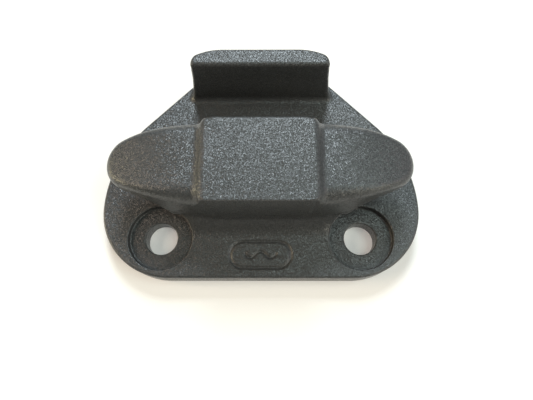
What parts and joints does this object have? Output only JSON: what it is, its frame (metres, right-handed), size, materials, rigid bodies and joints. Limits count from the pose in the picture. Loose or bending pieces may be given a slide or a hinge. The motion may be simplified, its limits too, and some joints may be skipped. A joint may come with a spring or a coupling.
{
  "type": "cleat horn",
  "caption": "Low horn cleat for making off a light rope: two short horns on a raised block, an upright rope stop behind them, and a flat plate with two seated screw holes.",
  "frame": {"origin": "midpoint between the two screw holes, on the plate's back face", "axes": "+X along the horns, +Y from the screw holes towards the rope stop, +Z out of the mounting surface"},
  "size_m": [0.064, 0.0436, 0.02],
  "materials": {
    "moulding": "black glass-filled nylon with a fine spark-eroded grain and a satin sheen"
  },
  "bodies": {
    "root": {"base_plate": "moulding", "pedestal": "moulding", "crown_block": "moulding", "left_horn": "moulding", "right_horn": "moulding", "rope_stop": "moulding"}
  },
  "joints": []
}
